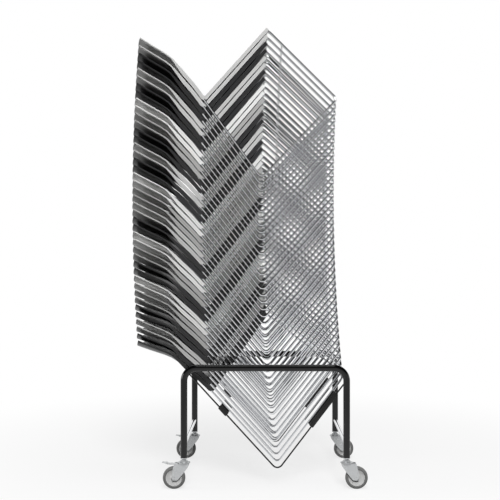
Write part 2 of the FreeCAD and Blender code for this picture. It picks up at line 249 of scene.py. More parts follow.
def material(name):
    new = bpy.data.materials.new(name)
    new.use_nodes = True
    new.node_tree.nodes.clear()
    return new, new.node_tree


def ramp(tree, factor, stops):
    """A colour ramp from pairs of position and hex colour."""
    node = add(tree, "ShaderNodeValToRGB", {"Fac": factor})
    elements = node.color_ramp.elements
    while len(elements) < len(stops):
        elements.new(0.5)
    for element, (position, colour) in zip(elements, stops):
        element.position = position
        element.color = linear(colour)
    return node


# %% [markdown]
# Every finish here has the same build. Noise on the piece's own coordinates drives a slight change
# of tone and of gloss, and a finer pattern gives the relief. The scale of a pattern counts its
# patches to the metre, so 200 makes patches of 5 mm. Most of a noise lies between 0.3 and 0.7,
# and that span is spread over the range of roughness.

# %% What all finishes share
MOST_OF_NOISE = (0.3, 0.7)


def noise(tree, where, to_the_metre, detail, roughness=0.5):
    return add(tree, "ShaderNodeTexNoise", {
        "Vector": where, "Scale": to_the_metre, "Detail": detail, "Roughness": roughness,
    })


def cells(tree, where, to_the_metre):
    return add(tree, "ShaderNodeTexVoronoi", {"Vector": where, "Scale": to_the_metre})


def gloss(tree, pattern, smoothest, roughest):
    """The roughness that follows a noise between two limits."""
    low, high = MOST_OF_NOISE
    return add(tree, "ShaderNodeMapRange", {
        "Value": pattern.outputs["Fac"], "From Min": low, "From Max": high,
        "To Min": smoothest, "To Max": roughest,
    }).outputs["Result"]


def relief(tree, height, strength, depth_mm):
    return add(tree, "ShaderNodeBump", {
        "Height": height, "Strength": strength, "Distance": depth_mm * MM,
    }).outputs["Normal"]


def coated(tree, tone, rough, **more):
    """The shader and the output that end a finish. more holds the inputs that only some need."""
    shader = add(tree, "ShaderNodeBsdfPrincipled", {
        "Base Color": tone.outputs["Color"], "Roughness": rough, **more,
    })
    add(tree, "ShaderNodeOutputMaterial", {"Surface": shader.outputs["BSDF"]})


# %% [markdown]
# The shells are polypropylene, moulded in four colours. The mould leaves a fine leather-like grain,
# about a millimetre and a half across, that breaks up the gloss, and the colour drifts very
# slightly over a hand's breadth. Years of stacking leave faint paler scuffs.

# %% Moulded polypropylene
def polypropylene(name, colour, scuffed, roughness):
    new, tree = material(name)
    where = add(tree, "ShaderNodeTexCoord").outputs["Object"]
    drift = noise(tree, where, 6, 2)
    grain = cells(tree, where, 700)
    scratch = noise(tree, where, 90, 6, 0.7)
    tone = ramp(tree, drift.outputs["Fac"], [(0.3, colour), (0.75, scuffed)])
    rough = gloss(tree, scratch, roughness - 0.06, roughness + 0.08)
    coated(tree, tone, rough, IOR=1.49, Normal=relief(tree, grain.outputs["Distance"], 0.12, 0.2))
    return new


shell_colours = {
    "light_grey_shell": polypropylene("polypropylene light grey", "c4c4c3", "cbcbca", 0.42),
    "mid_grey_shell": polypropylene("polypropylene mid grey", "acacab", "b3b3b2", 0.42),
    "white_shell": polypropylene("polypropylene white", "e9e9e8", "eeeeed", 0.40),
    "black_shell": polypropylene("polypropylene black", "232324", "2a2a2b", 0.3),
}
print(len(shell_colours), "shell colours")

# %% [markdown]
# The rods are steel, polished and chromium plated. Plating is a mirror, so almost all that it shows
# is the room: a rod is pale where it faces the walls and the floor, and dark where it faces the
# ceiling. A little uneven polish keeps it from looking like glass.

# %% Chromium plate
def chromium():
    new, tree = material("chromium plated steel")
    where = add(tree, "ShaderNodeTexCoord").outputs["Object"]
    polish = noise(tree, where, 220, 3)
    haze = ramp(tree, polish.outputs["Fac"], [(0.35, "e6e7e9"), (0.7, "f0f1f3")])
    coated(tree, haze, gloss(tree, polish, 0.07, 0.13), Metallic=1.0)
    return new


chrome = chromium()
print(chrome.name)

# %% [markdown]
# The trolley's tube is steel under black powder coat. Powder melts into a thick, shiny skin with a
# faint orange-peel ripple a few millimetres across. A thin clear coat in the shader stands for the
# skin's upper, glassier layer.

# %% Powder coat
def powder_coat(name, colour, worn, roughness):
    new, tree = material(name)
    where = add(tree, "ShaderNodeTexCoord").outputs["Object"]
    peel = noise(tree, where, 260, 1)
    drift = noise(tree, where, 14, 4)
    tone = ramp(tree, drift.outputs["Fac"], [(0.35, colour), (0.75, worn)])
    rough = gloss(tree, drift, roughness - 0.04, roughness + 0.05)
    skin = {"IOR": 1.42, "Coat Weight": 0.1, "Coat Roughness": 0.08}
    coated(tree, tone, rough, Normal=relief(tree, peel.outputs["Fac"], 0.15, 0.4), **skin)
    return new


black_coat = powder_coat("black powder coat", "060606", "0a0a0b", 0.14)
print(black_coat.name)

# %% [markdown]
# A plain moulded or rubber part has a dull skin with fine pits. One function makes the buffers, the
# cradle's pads, the tyres and the hubs, each with its own colour, pit size and dullness.

# %% Rubber and dull plastic
def dull_skin(name, colour, dusty, roughness, pit_mm, depth_mm):
    new, tree = material(name)
    where = add(tree, "ShaderNodeTexCoord").outputs["Object"]
    pits = noise(tree, where, 1000 / pit_mm, 2)
    dust = noise(tree, where, 30, 5)
    tone = ramp(tree, dust.outputs["Fac"], [(0.35, colour), (0.7, dusty)])
    rough = gloss(tree, dust, roughness - 0.05, roughness + 0.06)
    coated(tree, tone, rough, Normal=relief(tree, pits.outputs["Fac"], 0.2, depth_mm))
    return new


buffer_skin = dull_skin("buffer polyamide", "1a1a1a", "242424", 0.55, 1.5, 0.2)
pad_skin = dull_skin("pad rubber", "161616", "1f1f1f", 0.62, 2.0, 0.3)
tyre_skin = dull_skin("tyre thermoplastic rubber", "7e7e7d", "8a8a89", 0.6, 2.0, 0.3)
hub_skin = dull_skin("hub polyamide", "e6e6e5", "ececeb", 0.4, 1.5, 0.2)
print(buffer_skin.name, pad_skin.name, tyre_skin.name, hub_skin.name, sep=", ")

# %% [markdown]
# Forks, axles and pedals are pressed steel with bright zinc plate. Zinc is duller than chromium and
# its crystals show as soft patches a few millimetres across. A part of its light is scattered, so
# it is set between a metal and a plain surface.

# %% Zinc plate
def zinc_plate():
    new, tree = material("zinc plated steel")
    where = add(tree, "ShaderNodeTexCoord").outputs["Object"]
    crystals = cells(tree, where, 180)
    brushed = noise(tree, where, 400, 3)
    tone = ramp(tree, crystals.outputs["Distance"], [(0.1, "c2c4c6"), (0.6, "d2d4d5")])
    coated(tree, tone, gloss(tree, brushed, 0.22, 0.34), Metallic=0.55)
    return new


zinc = zinc_plate()
print(zinc.name)

# %% [markdown]
# A bent rod is drawn first as a line of edges through its corners. Rounding a corner of that line
# with a bevel gives the bend, and a round bevel on the curve gives the rod its thickness. This is
# quicker than spinning a circle through every bend, and it keeps each bend's radius exact.

# %% Bent rods and tubes
def first_point(name, spot):
    """A new mesh of one corner, selected in edit mode, from which lines are extruded."""
    deselect()
    bpy.ops.mesh.primitive_plane_add(size=MM)
    piece = bpy.context.object
    piece.name = name
    bpy.ops.object.mode_set(mode="EDIT")
    bpy.ops.mesh.select_mode(type="VERT")
    bpy.ops.mesh.select_all(action="SELECT")
    bpy.ops.mesh.merge(type="CENTER")
    bpy.ops.transform.translate(value=spot)
    return piece


def drawn_on(step):
    """Pulls what is selected on by a step."""
    bpy.ops.mesh.extrude_region_move(TRANSFORM_OT_translate={"value": step})


def corner_rounded(piece, corner, offset, steps):
    pick(piece, "vertices", lambda at: (at - corner).length < TOUCHING)
    bpy.ops.mesh.bevel(affect="VERTICES", offset_type="OFFSET", offset=offset, segments=steps)


def bent_rod(name, corners, bends, radius, rings, steps):
    """A round rod through the corners. bends gives a radius for each inner corner."""
    line = first_point(name, corners[0])
    for here, there in zip(corners, corners[1:]):
        drawn_on(there - here)
    for before, corner, after, bend in zip(corners, corners[1:], corners[2:], bends):
        half = (before - corner).angle(after - corner) / 2
        corner_rounded(line, corner, bend / math.tan(half), steps)
    bpy.ops.object.mode_set(mode="OBJECT")
    bpy.ops.object.convert(target="CURVE")
    line = bpy.context.object
    line.data.bevel_depth = radius
    line.data.bevel_resolution = rings
    line.data.use_fill_caps = True
    bpy.ops.object.convert(target="MESH")
    return finish_piece(bpy.context.object)


# %% [markdown]
# Each side of a chair's frame is one rod: a rail under the seat, a front leg, a floor runner and a
# rear leg. The front leg stands 17 mm inside the runner, so that a chair's legs pass inside the
# runners of the one above, and the rod jogs sideways at the front corner.

# %% A chair's side rod
SIDES = ((-1, "near"), (1, "far"))
ROD = 5.5 * MM
SHEET = 4 * MM
SHELL_HALF = 224.2 * MM
LEG_PLANE = SHELL_HALF - 11.2 * MM
RUNNER_PLANE = SHELL_HALF + 5.8 * MM
SEAT_SLOPE = 0.0337
SEAT_FRONT = Vector((504.0, 0, 439.0 + 415.0 * SEAT_SLOPE)) * MM
SEAT_CORNER = Vector((89.0, 0, 439.0)) * MM
RAIL_FRONT, RAIL_REAR = 501 * MM, 94 * MM
RUNNER = 494 * MM
REAR_LEG = Vector((77, 0, 432)) * MM
FRONT_BEND, JOG_BEND, REAR_BEND = 16 * MM, 7 * MM, 20 * MM
JOG = 16 * MM


def seat_height(x):
    return SEAT_CORNER.z + (x - SEAT_CORNER.x) * SEAT_SLOPE


def rail_height(x):
    return seat_height(x) - SHEET - ROD


def side_rod(name, side):
    leg, runner = side * LEG_PLANE, side * RUNNER_PLANE
    front = Vector((RAIL_FRONT, leg, rail_height(RAIL_FRONT)))
    foot = Vector((RUNNER, leg, 0))
    corners = [
        Vector((RAIL_REAR, leg, rail_height(RAIL_REAR))),
        front,
        foot - (foot - front).normalized() * JOG,
        Vector((RUNNER - JOG, runner, 0)),
        Vector((0, runner, 0)),
        Vector((REAR_LEG.x, runner, REAR_LEG.z)),
    ]
    return bent_rod(name, corners, [FRONT_BEND, JOG_BEND, JOG_BEND, REAR_BEND], ROD, 3, 3)


side_rods = {side: side_rod(f"side_rod_{where}", side) for side, where in SIDES}
print("one side rod has", len(side_rods[1].data.polygons), "faces")

# %% [markdown]
# The rod is copied to every chair. The copies of the forty-one lower chairs lie fast in the stack
# and are joined, one piece a side. The chair on top can be lifted off, so its rods stay apart.

# %% The nested frames
for side, where in SIDES:
    copies = [copied(side_rods[side], chair_place(k)) for k in range(TOP)]
    frames = joined(copies, f"nested_side_rods_{where}")
    dressed(frames, chrome, "trolley", f"nested_frames_{where}")
    top = copied(side_rods[side], chair_place(TOP), f"top_side_rod_{where}")
    dressed(top, chrome, "top_chair", f"top_frame_{where}")
    print(frames.name, len(frames.data.polygons), "faces")
removed(*side_rods.values())

# %% [markdown]
# A thinner rod ties the front legs together a hand's breadth under the seat. It is a plain cylinder
# whose ends are set in a little and reach into the legs. The chair on top also shows the rod under
# the rear of its seat.

# %% Cross rods
CROSS_ROD = 4 * MM
FRONT_BAR_DROP = 92 * MM
REAR_BAR_X, REAR_BAR_DROP = 150 * MM, 14.6 * MM
SUNK = 0.6 * ROD


def cross_rod(name, x, z, reach, radius):
    """A rod across the stack, as far to both sides as its reach."""
    deselect()
    bpy.ops.mesh.primitive_cylinder_add(
        vertices=12, radius=radius, depth=2 * reach, location=(x, 0, z),
        rotation=(math.radians(90), 0, 0))
    bar = bpy.context.object
    bar.name = name
    bpy.ops.object.transform_apply(location=True, rotation=True, scale=True)
    pick(bar, "polygons", lambda at: abs(abs(at.y) - reach) < TOUCHING)
    bpy.ops.mesh.inset(thickness=0.8 * MM, depth=0.4 * MM)
    bpy.ops.object.mode_set(mode="OBJECT")
    return finish_piece(bar)


leg_top = rail_height(RAIL_FRONT)
bar_z = leg_top - FRONT_BAR_DROP
bar_x = RUNNER + (RAIL_FRONT - RUNNER) * bar_z / leg_top
front_bar = cross_rod("front_bar", bar_x, bar_z, LEG_PLANE - SUNK, CROSS_ROD)
bars = joined([copied(front_bar, chair_place(k)) for k in range(TOP)], "nested_bars")
dressed(bars, chrome, "trolley", "nested_cross_rods")
rear_z = seat_height(REAR_BAR_X) - REAR_BAR_DROP
rear_bar = cross_rod("rear_bar", REAR_BAR_X, rear_z, LEG_PLANE, CROSS_ROD)
top_bars = joined([copied(bar, chair_place(TOP)) for bar in (front_bar, rear_bar)], "top_bars")
dressed(top_bars, chrome, "top_chair", "top_cross_rods")
removed(front_bar, rear_bar)
print(bars.name, len(bars.data.polygons), "faces")

# %% [markdown]
# The shell is one moulding: a nearly flat seat, a tight crook, and a back that bows rearward. It is
# described by stations along its edge, from the seat's front edge to the top of the back. They lie
# close together at the crook, where the direction changes fast.

# %% The shell's outline and depth
# Each station: the edge line's x and z, the depth of the turned edge, and how far the middle lies
# behind the edge line, in millimetres.
STATIONS = [
    (504.0, 453.0, 15.5, 0.0),
    (470.0, 451.8, 15.5, 0.5),
    (380.0, 448.8, 15.5, 4.0),
    (280.0, 445.4, 15.5, 5.0),
    (180.0, 442.1, 15.5, 4.0),
    (107.0, 439.6, 15.5, 2.0),
    (93.6, 439.2, 17.0, 1.5),
    (90.2, 440.3, 22.0, 1.5),
    (89.3, 443.4, 19.5, 1.5),
    (90.8, 457.0, 17.5, 3.0),
    (99.7, 510.0, 18.0, 8.0),
    (105.8, 578.0, 17.0, 14.0),
    (110.0, 625.0, 11.0, 18.0),
    (112.0, 666.0, 5.5, 22.0),
    (107.5, 700.0, 4.6, 25.0),
    (100.9, 730.0, 4.6, 27.5),
    (90.7, 776.0, 4.6, 31.0),
    (79.4, 831.0, 4.6, 34.0),
]


def behind(k):
    """The direction behind or under the sheet at a station."""
    low, high = STATIONS[max(k - 1, 0)], STATIONS[min(k + 1, len(STATIONS) - 1)]
    along = Vector((high[0] - low[0], 0, high[1] - low[1])).normalized()
    return along.cross(Vector((0, 1, 0)))


def nearest_station(at):
    def distance(k):
        x, z = STATIONS[k][:2]
        return (at.x / MM - x) ** 2 + (at.z / MM - z) ** 2
    return min(range(len(STATIONS)), key=distance)


print(len(STATIONS), "stations along the shell")

# %% [markdown]
# The seat's front edge is drawn first, as a line across the chair that is cut into strips. Pulling
# that line from station to station makes the sheet. The strips are narrow near the two long edges,
# because the sheet curves most there.

# %% The shell's sheet
STRIPS = [1, 0.975, 0.94, 0.89, 0.8, 0.62, 0.32, 0]


def sheet(name):
    """The shell's flat sheet. STRIPS are shares of half its width, from the edge to the middle."""
    x, z = STATIONS[0][:2]
    across = [-share for share in STRIPS] + STRIPS[-2::-1]
    piece = first_point(name, (x * MM, -SHELL_HALF, z * MM))
    for here, there in zip(across, across[1:]):
        drawn_on((0, (there - here) * SHELL_HALF, 0))
    bpy.ops.mesh.select_all(action="SELECT")
    for one, other in zip(STATIONS, STATIONS[1:]):
        drawn_on(Vector((other[0] - one[0], 0, other[1] - one[1])) * MM)
    bpy.ops.object.mode_set(mode="OBJECT")
    return piece


shell = sheet("shell")
print("the sheet has", len(shell.data.polygons), "faces")

# %% [markdown]
# A person sits in the shell's hollow, which runs almost flat across the middle and rises steeply
# close to the long edges. A sixth power gives such a section. The long edges are then turned down,
# deep round the seat and the small of the back and almost nothing along the upper back.

# %% The shell's hollow and turned edges
STEEPNESS = 6


def hollowed(piece):
    """Each corner moves back by its share of the hollow."""
    for corner in piece.data.vertices:
        k = nearest_station(corner.co)
        share = 1 - abs(corner.co.y / SHELL_HALF) ** STEEPNESS
        corner.co += behind(k) * (STATIONS[k][3] * share * MM)


def edges_turned(piece):
    """The two long edges are pulled out behind the sheet, each station by its own depth."""
    first_new = len(piece.data.vertices)
    pick(piece, "edges", lambda at: abs(abs(at.y) - SHELL_HALF) < TOUCHING)
    drawn_on((0, 0, 0))
    bpy.ops.object.mode_set(mode="OBJECT")
    for corner in piece.data.vertices[first_new:]:
        k = nearest_station(corner.co)
        corner.co += behind(k) * (STATIONS[k][2] * MM)


hollowed(shell)
edges_turned(shell)
print("with its turned edges the sheet has", len(shell.data.polygons), "faces")

# %% [markdown]
# The sheet gets its wall from a modifier that thickens it to the rear, so the seat's upper face
# stays where it was drawn. The rim is rounded by a millimetre, as a mould leaves it.

# %% The shell's wall and rim
only(shell)
bpy.ops.object.modifier_add(type="SOLIDIFY")
wall = shell.modifiers[-1]
wall.thickness = SHEET
wall.offset = -1
wall.use_even_offset = True
bpy.ops.object.modifier_apply(modifier=wall.name)
edges_eased(shell, 1 * MM, 1, 50)
finish_piece(shell, 40)
print("one shell has", len(shell.data.polygons), "faces")

# %% [markdown]
# The colours run up the stack in twos. Toward the bottom the weight of the stack presses the backs
# rearward by a few degrees, so each copy's back is turned about the line where it meets the seat.
# The list starts with the lowest pair. The last pair is split, since its upper chair is the one
# that can be lifted off.

# %% The nested shells
COLOUR_PAIRS = [
    "black_shell", "light_grey_shell", "black_shell", "mid_grey_shell", "white_shell",
    "black_shell", "mid_grey_shell", "white_shell", "black_shell", "light_grey_shell",
    "mid_grey_shell", "white_shell", "black_shell", "light_grey_shell", "black_shell",
    "mid_grey_shell", "white_shell", "black_shell", "light_grey_shell", "black_shell",
    "light_grey_shell",
]
BACK_SAG = 3.3
BACK_STARTS = 439.5 * MM
BACK_REACHES = 135 * MM


def sagged(number, name="copy"):
    """A copy of the shell whose back leans rearward as much as that chair's does."""
    lean = math.radians(BACK_SAG * (TOP - number) / TOP)
    copy = copied(shell, Matrix.Identity(4), name)
    only(copy)
    pick(copy, "vertices", lambda at: at.z > BACK_STARTS and at.x < BACK_REACHES)
    bpy.ops.transform.rotate(value=lean, orient_axis="Y", center_override=SEAT_CORNER)
    bpy.ops.object.mode_set(mode="OBJECT")
    copy.data.transform(chair_place(number))
    return copy


for pair, colour in enumerate(COLOUR_PAIRS):
    numbers = [n for n in (2 * pair, 2 * pair + 1) if n < TOP]
    shells = joined([sagged(n) for n in numbers], f"shell_pair_{pair + 1:02d}")
    dressed(shells, shell_colours[colour], "trolley", f"shells_{pair + 1:02d}")
top_colour = COLOUR_PAIRS[-1]
top_chair_shell = sagged(TOP, "top_chair_shell")
dressed(top_chair_shell, shell_colours[top_colour], "top_chair", "top_shell")
removed(shell)
print(len(COLOUR_PAIRS), "colour pairs placed")

# %% [markdown]
# The trolley has two arches of bent tube, joined low down by two plated rails. Tube is bent round a
# former, so the bend is a true arc, and the tube ends square at the casters.

# %% Arches and rails
ENDS = ((-1, "left"), (1, "right"))
ARCH_Y = 278 * MM
LEG_X = 360 * MM
TUBE = 15 * MM
ARCH_TOP, ARCH_FOOT, ARCH_BEND = 534 * MM, 138 * MM, 57 * MM
RAIL, RAIL_HEIGHT = 10.5 * MM, 196 * MM
RAIL_REACH = ARCH_Y - 11 * MM

for side, where in SIDES:
    corners = [
        Vector((-LEG_X, side * ARCH_Y, ARCH_FOOT)),
        Vector((-LEG_X, side * ARCH_Y, ARCH_TOP)),
        Vector((LEG_X, side * ARCH_Y, ARCH_TOP)),
        Vector((LEG_X, side * ARCH_Y, ARCH_FOOT)),
    ]
    arch = bent_rod(f"arch_{where}", corners, [ARCH_BEND, ARCH_BEND], TUBE, 10, 12)
    dressed(arch, black_coat, "trolley", f"side_frame_{where}")
for end, where in ENDS:
    rail = cross_rod(f"rail_{where}", end * LEG_X, RAIL_HEIGHT, RAIL_REACH, RAIL)
    dressed(rail, chrome, "trolley", f"cross_rail_{where}")
print("an arch has", len(arch.data.polygons), "faces")

# %% [markdown]
# The lowest chair lies in a V of thin black rod on each side, whose two arms run a little below the
# chair's runner and its rear leg. The arms end at the arch that carries them.

# %% The cradle's rods
CRADLE_ROD, CRADLE_BEND = 3.5 * MM, 26 * MM
CRADLE_OFFSET = 17 * MM
CRADLE_REACH = LEG_X - 8 * MM
CRADLE_Y = ARCH_Y - 17.9 * MM

lowest = chair_place(0)
forward = lowest.to_3x3() @ Vector((1, 0, 0))
rearward = lowest.to_3x3() @ REAR_LEG.normalized()
half_angle = forward.angle(rearward) / 2
v_corner = lowest.translation - (forward + rearward).normalized() * (
    CRADLE_OFFSET / math.sin(half_angle))


def arm_end(way, x):
    """Where an arm of the V, drawn on from its corner, comes to a place along the trolley."""
    return v_corner + way * ((x - v_corner.x) / way.x)


for side, where in SIDES:
    corners = [arm_end(rearward, -CRADLE_REACH), v_corner, arm_end(forward, CRADLE_REACH)]
    corners = [corner + Vector((0, side * CRADLE_Y, 0)) for corner in corners]
    holder = bent_rod(f"cradle_v_{where}", corners, [CRADLE_BEND], CRADLE_ROD, 4, 10)
    dressed(holder, black_coat, "trolley", f"cradle_rod_{where}")
print("the V opens by", round(math.degrees(2 * half_angle)), "degrees")

# %% [markdown]
# Four soft blocks sit on the V and carry the lowest chair's rods. A block is a cube drawn out to
# its length, with its edges well rounded. It is made lying flat and then turned along its arm.

# %% The cradle's pads
PAD_INNER_Y, PAD_OUTER_Y = 222 * MM, CRADLE_Y + 5 * MM
PAD_THICKNESS = 20 * MM
FRONT_PAD = (225 * MM, 185 * MM)
REAR_PAD = (315 * MM, 48 * MM)
ALONG_Y = Vector((0, 1, 0))


def block(name, length, width, height, rounding, steps):
    """A box from the origin along x, its middle on y = 0, below z = 0, with rounded edges."""
    deselect()
    bpy.ops.mesh.primitive_cube_add(size=1)
    piece = bpy.context.object
    piece.name = name
    piece.scale = (length, width, height)
    piece.location = (length / 2, 0, -height / 2)
    bpy.ops.object.transform_apply(location=True, rotation=True, scale=True)
    edges_eased(piece, rounding, steps, 30)
    return finish_piece(piece)


def pad(way, below, start, length, side):
    """A pad along one arm. It starts so far from the corner, and lies below the chair's rod."""
    piece = block("pad", length, PAD_OUTER_Y - PAD_INNER_Y, PAD_THICKNESS, 2.5 * MM, 3)
    middle = ALONG_Y * (side * (PAD_INNER_Y + PAD_OUTER_Y) / 2)
    turn = Matrix((way, ALONG_Y, -below)).transposed().to_4x4()
    spot = lowest.translation + way * start + below * ROD + middle
    piece.data.transform(Matrix.Translation(spot) @ turn)
    return finish_piece(piece)


blocks = []
for side, where in SIDES:
    blocks.append(pad(forward, -forward.cross(ALONG_Y), *FRONT_PAD, side))
    blocks.append(pad(rearward, rearward.cross(ALONG_Y), *REAR_PAD, side))
pads = joined(blocks, "pads")
dressed(pads, pad_skin, "trolley", "cradle_pads")
print(pads.name, len(pads.data.polygons), "faces")

# %% [markdown]
# Between each seat rail and the shell below it sits a narrow buffer. The steps between the chairs
# hardly change, so one buffer serves all, and each copy is drawn to the gap that it fills. Its top
# lies in the rail above, and it leans half way between the two seats.

# %% Buffers
BUFFER_START, BUFFER_LENGTH, BUFFER_WIDTH = 245 * MM, 80 * MM, 13 * MM
DRAWN_HEIGHT = 10 * MM


def buffer_copy(number, side):
    below = chair_place(number).inverted() @ chair_place(number - 1)
    rear, front = below @ SEAT_CORNER, below @ SEAT_FRONT
    slope = (front.z - rear.z) / (front.x - rear.x)
    top = rail_height(BUFFER_START) - SUNK
    bottom = rear.z + (BUFFER_START - rear.x) * slope
    piece = copied(buffer_master, Matrix.Diagonal((1, 1, (top - bottom) / DRAWN_HEIGHT, 1)))
    lean = Matrix.Identity(4)
    lean[2][0] = (slope + SEAT_SLOPE) / 2
    spot = Matrix.Translation((BUFFER_START, side * LEG_PLANE, top))
    piece.data.transform(chair_place(number) @ spot @ lean)
    return piece


buffer_master = block("buffer", BUFFER_LENGTH, BUFFER_WIDTH, DRAWN_HEIGHT, 2.2 * MM, 2)
low = joined([buffer_copy(n, side) for n in range(1, TOP) for side, _ in SIDES], "buffers")
dressed(low, buffer_skin, "trolley", "nested_buffers")
high = joined([buffer_copy(TOP, side) for side, _ in SIDES], "top_chair_buffers")
dressed(high, buffer_skin, "top_chair", "top_buffers")
removed(buffer_master)
print(low.name, len(low.data.polygons), "faces")

# %% [markdown]
# Round parts are turned: half of the section is drawn as a line and spun about the axis. Flat parts
# are cut from sheet: the outline is drawn, its corners are rounded, and it is pulled to its
# thickness with the edges eased.

# %% Turned and cut parts
def points(pairs):
    """Points in the XZ plane from pairs of millimetres."""
    return [Vector((x, 0, z)) * MM for x, z in pairs]


def outlined(name, outline):
    """A line of edges through the points of an outline, all selected in edit mode."""
    piece = first_point(name, outline[0])
    for here, there in zip(outline, outline[1:]):
        drawn_on(there - here)
    bpy.ops.mesh.select_all(action="SELECT")
    return piece


def turned(name, outline, centre, axis, steps=48):
    """Spins a closed outline of points about the axis through centre."""
    piece = outlined(name, outline + outline[:1])
    bpy.ops.mesh.remove_doubles(threshold=WELD)
    bpy.ops.mesh.select_all(action="SELECT")
    bpy.ops.mesh.spin(steps=steps, angle=2 * math.pi, center=centre, axis=axis)
    bpy.ops.mesh.select_all(action="SELECT")
    bpy.ops.mesh.remove_doubles(threshold=WELD)
    return finish_piece(piece, 30)


def plate(name, outline, thickness, radii, eased):
    """A sheet part in the XZ plane, from y = 0 to y = thickness, with one radius a corner."""
    piece = outlined(name, outline)
    bpy.ops.mesh.edge_face_add()
    for corner, radius in zip(outline, radii):
        if radius:
            corner_rounded(piece, corner, radius, 5)
    bpy.ops.mesh.select_all(action="SELECT")
    drawn_on((0, thickness, 0))
    bpy.ops.object.mode_set(mode="OBJECT")
    finish_piece(piece)
    edges_eased(piece, eased, 2, 60)
    return finish_piece(piece)


# %% [markdown]
# A caster is drawn about its swivel axis with the wheel trailing to +x. Its fork is a round crown
# with two pressed plates, which reach down past the wheel's side to the axle. A plug in the
# trolley's leg holds the crown by a pin and a collar.

# %% A caster's fork and stem
UPRIGHT = ((0, 0, 0), (0, 0, 1))
FORK_SHEET = 2.5 * MM
FORK_HALF_GAP = 15 * MM

cheek = plate("cheek", points([
    (-22, 114), (41, 114), (47, 96), (53.5, 53), (49.5, 40), (27.5, 40), (3, 69), (-22, 104),
]), FORK_SHEET, [r * MM for r in (0, 3, 4, 5, 6, 6, 8, 3)], 0.5 * MM)
crown = turned("crown", points([
    (0, 114.4), (26.5, 114.4), (28, 115.6), (28, 117.2), (27, 118.4), (20, 119.2), (18.2, 121),
    (0, 121),
]), *UPRIGHT)
other_cheek = copied(cheek, Matrix.Translation((0, -FORK_HALF_GAP - FORK_SHEET, 0)))
cheek.data.transform(Matrix.Translation((0, FORK_HALF_GAP, 0)))
fork_master = finish_piece(joined([cheek, other_cheek, crown], "fork_master"))
stem_master = turned("stem_master", points([
    (0, 121.3), (16.2, 121.3), (17, 122.1), (17, 124.4), (15.6, 126.3), (9.6, 126.3), (9.6, 130.4),
    (6.2, 130.8), (6.2, 133.6), (15.2, 134), (15.6, 134.6), (15.6, 138), (0, 138),
]), *UPRIGHT)
print("a fork has", len(fork_master.data.polygons), "faces")

# %% [markdown]
# The wheel is a pale hub, dished round the axle, in a solid grey tyre with a rounded tread. Hub,
# tyre and axle bolt are turned about the same line. The bolt's heads are six-sided, so it is spun
# in six steps.

# %% A caster's wheel and axle
AXLE = Vector((43.5, 0, 50)) * MM
ROUND_AXLE = (AXLE, (0, 1, 0))


def at_axle(pairs):
    """An outline round the axle from pairs of radius and y in millimetres."""
    return [Vector((AXLE.x, y * MM, AXLE.z + radius * MM)) for radius, y in pairs]


bolt = turned("bolt", at_axle([
    (0, -19.8), (3.4, -19.8), (6.4, -19.2), (6.4, -17.5), (4, -17.5),
    (4, 17.5), (6.4, 17.5), (6.4, 19.2), (3.4, 19.8), (0, 19.8),
]), *ROUND_AXLE, 6)
hub_master = turned("hub_master", at_axle([
    (4.2, -14.2), (9, -14.2), (10, -13.4), (12.5, -9), (31, -8.6), (33.6, -10), (36, -10),
    (36, 10), (33.6, 10), (31, 8.6), (12.5, 9), (10, 13.4), (9, 14.2), (4.2, 14.2),
]), *ROUND_AXLE)
tyre_master = turned("tyre_master", at_axle([
    (36, -11), (39, -12), (43.5, -11.8), (47.3, -9.6), (49.4, -5.6), (50, 0),
    (49.4, 5.6), (47.3, 9.6), (43.5, 11.8), (39, 12), (36, 11),
]), *ROUND_AXLE)
print("a wheel has", len(hub_master.data.polygons) + len(tyre_master.data.polygons), "faces")

# %% [markdown]
# The two left casters have a brake pedal, a strip of steel that tips on a pin between the cheeks.
# Its side view is cut as an outline and pulled to its width, and a foot's lip is bent up near the
# end.

# %% A caster's brake pedal
PEDAL_WIDTH = 24 * MM
PIN = Vector((27, 0, 107)) * MM
PIN_RADIUS, PIN_REACH = 2.4 * MM, 14.6 * MM

side_view = points([
    (27, 108.6), (71, 110.4), (76, 111.2), (80, 114), (96, 117.4), (96, 119), (79, 116.8),
    (77, 119), (74.6, 118.4), (72.6, 113.6), (27, 111.6),
])
pedal_plate = plate("pedal_plate", side_view, PEDAL_WIDTH, [0] * len(side_view), 0.5 * MM)
pedal_plate.data.transform(Matrix.Translation((0, -PEDAL_WIDTH / 2, 0)))
pin_outline = [(0, -PIN_REACH), (PIN_RADIUS, -PIN_REACH), (PIN_RADIUS, PIN_REACH), (0, PIN_REACH)]
pedal_pin = turned(
    "pedal_pin", [PIN + Vector((0, y, radius)) for radius, y in pin_outline], PIN, (0, 1, 0), 16)
pedal_master = finish_piece(joined([pedal_plate, pedal_pin], "pedal_master"))
print("a pedal has", len(pedal_master.data.polygons), "faces")

# %% [markdown]
# Each part of the caster is copied to the four corners of the trolley. At the left end the caster
# is turned half round, so every wheel trails outward. The fork and the bolt swivel, the hub and the
# tyre roll, and the pedal tips, so each of these groups rides on a body of its own.

# %% The four casters
CASTER_PARTS = {
    "fork": (fork_master, zinc, "caster", "zinc_steel"),
    "axle": (bolt, zinc, "caster", "zinc_steel"),
    "hub": (hub_master, hub_skin, "wheel", "hub_plastic"),
    "tyre": (tyre_master, tyre_skin, "wheel", "grey_tyre"),
    "pedal": (pedal_master, zinc, "brake", "zinc_steel"),
}

